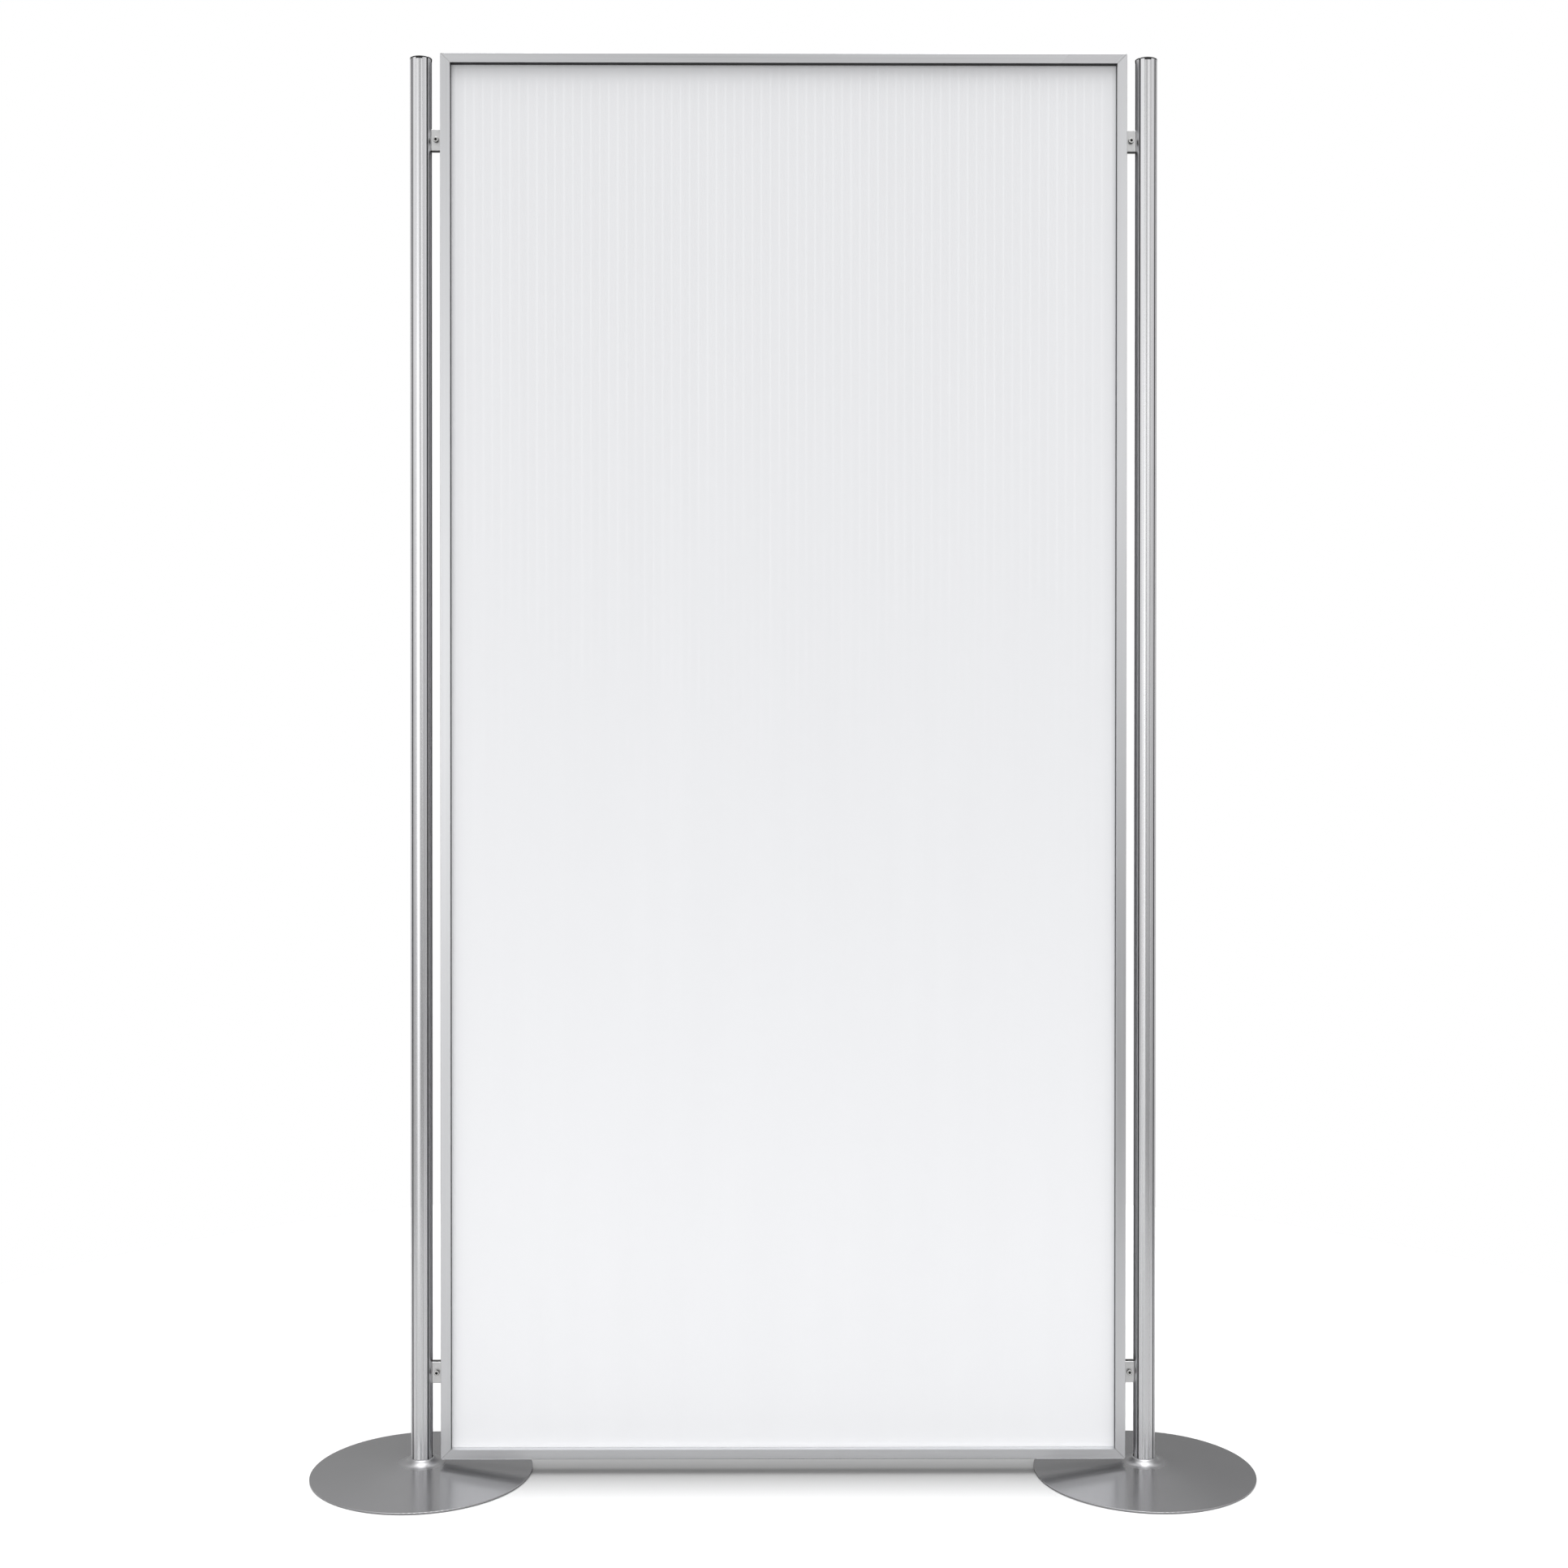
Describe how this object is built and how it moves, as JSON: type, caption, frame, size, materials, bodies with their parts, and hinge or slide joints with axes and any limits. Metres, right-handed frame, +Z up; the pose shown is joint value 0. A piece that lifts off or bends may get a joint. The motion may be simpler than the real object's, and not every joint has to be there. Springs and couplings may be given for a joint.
{
  "type": "partition wall",
  "caption": "Free-standing partition wall: framed translucent ribbed sheet held by cam locks between slotted round posts on disc feet.",
  "frame": {"origin": "on the floor, midway between the two posts' centres", "axes": "+X along the wall to the viewer's right, front faces -Y, +Z up"},
  "size_m": [1.214, 0.283, 1.821],
  "materials": {
    "base_paint": "semi-gloss grey powder coat",
    "grip_rubber": "matte",
    "zinc_steel": "bright zinc plate",
    "bright_steel": "nickel plate, satin",
    "spring_steel": "phosphated",
    "post_aluminium": "satin anodised extrusion",
    "frame_aluminium": "matt silver anodised extrusion",
    "plate_aluminium": "matt silver anodised sheet",
    "key_alloy": "die cast, tumbled",
    "lock_alloy": "satin",
    "cap_plastic": "fine moulded texture",
    "cover_strip": "bright anodised extruded strip",
    "seal_rubber": "matte",
    "opal_sheet": "translucent opal twin-wall sheet"
  },
  "bodies": {
    "stands": {"base_plate_left": "base_paint", "base_grip_ring_left": "grip_rubber", "base_washer_left": "zinc_steel", "base_bolt_left": "zinc_steel", "post_left": "post_aluminium", "post_cap_left": "cap_plastic", "slot_cover_front_left": "cover_strip", "slot_cover_back_left": "cover_strip", "base_plate_right": "base_paint", "base_grip_ring_right": "grip_rubber", "base_washer_right": "zinc_steel", "base_bolt_right": "zinc_steel", "post_right": "post_aluminium", "post_cap_right": "cap_plastic", "slot_cover_front_right": "cover_strip", "slot_cover_back_right": "cover_strip"},
    "panel": {"frame_top": "frame_aluminium", "edge_seal_top": "seal_rubber", "frame_bottom": "frame_aluminium", "edge_seal_bottom": "seal_rubber", "frame_left": "frame_aluminium", "edge_seal_left": "seal_rubber", "frame_right": "frame_aluminium", "edge_seal_right": "seal_rubber", "corner_key_top_left": "key_alloy", "corner_key_top_right": "key_alloy", "corner_key_bottom_left": "key_alloy", "corner_key_bottom_right": "key_alloy", "corner_key_screws": "zinc_steel", "twin_wall_sheet": "opal_sheet", "name_plate": "plate_aluminium", "lock_housing_upper_left": "lock_alloy", "lock_housing_upper_right": "lock_alloy", "lock_housing_lower_left": "lock_alloy", "lock_housing_lower_right": "lock_alloy", "lock_fixing_screws": "zinc_steel", "lock_nut_plates": "zinc_steel"},
    "cam_upper_left": {"lock_cam_upper_left": "bright_steel", "lock_clip_upper_left": "spring_steel"},
    "claw_upper_left": {"lock_claw_upper_left": "bright_steel"},
    "cam_upper_right": {"lock_cam_upper_right": "bright_steel", "lock_clip_upper_right": "spring_steel"},
    "claw_upper_right": {"lock_claw_upper_right": "bright_steel"},
    "cam_lower_left": {"lock_cam_lower_left": "bright_steel", "lock_clip_lower_left": "spring_steel"},
    "claw_lower_left": {"lock_claw_lower_left": "bright_steel"},
    "cam_lower_right": {"lock_cam_lower_right": "bright_steel", "lock_clip_lower_right": "spring_steel"},
    "claw_lower_right": {"lock_claw_lower_right": "bright_steel"}
  },
  "joints": [
    {"name": "panel_lift", "type": "slide", "parent": "stands", "child": "panel", "axis": [0, 0, 1], "range_m": [-0.005, 0.085]},
    {"name": "cam_turn_upper_left", "type": "hinge", "parent": "panel", "child": "cam_upper_left", "pos_m": [-0.4455, 0, 1.712], "axis": [0, -1, 0], "range_deg": [0, 180]},
    {"name": "claw_release_upper_left", "type": "slide", "parent": "panel", "child": "claw_upper_left", "axis": [-1, 0, 0], "range_m": [0, 0.0012]},
    {"name": "cam_turn_upper_right", "type": "hinge", "parent": "panel", "child": "cam_upper_right", "pos_m": [0.4455, 0, 1.712], "axis": [0, -1, 0], "range_deg": [0, 180]},
    {"name": "claw_release_upper_right", "type": "slide", "parent": "panel", "child": "claw_upper_right", "axis": [1, 0, 0], "range_m": [0, 0.0012]},
    {"name": "cam_turn_lower_left", "type": "hinge", "parent": "panel", "child": "cam_lower_left", "pos_m": [-0.4455, 0, 0.13], "axis": [0, -1, 0], "range_deg": [0, 180]},
    {"name": "claw_release_lower_left", "type": "slide", "parent": "panel", "child": "claw_lower_left", "axis": [-1, 0, 0], "range_m": [0, 0.0012]},
    {"name": "cam_turn_lower_right", "type": "hinge", "parent": "panel", "child": "cam_lower_right", "pos_m": [0.4455, 0, 0.13], "axis": [0, -1, 0], "range_deg": [0, 180]},
    {"name": "claw_release_lower_right", "type": "slide", "parent": "panel", "child": "claw_lower_right", "axis": [1, 0, 0], "range_m": [0, 0.0012]}
  ],
  "couplings": [
    {"joint": "cam_turn_upper_left", "follows": "claw_release_upper_left", "rad_per_m": 2618},
    {"joint": "cam_turn_upper_right", "follows": "claw_release_upper_right", "rad_per_m": 2618},
    {"joint": "cam_turn_lower_left", "follows": "claw_release_lower_left", "rad_per_m": 2618},
    {"joint": "cam_turn_lower_right", "follows": "claw_release_lower_right", "rad_per_m": 2618}
  ]
}
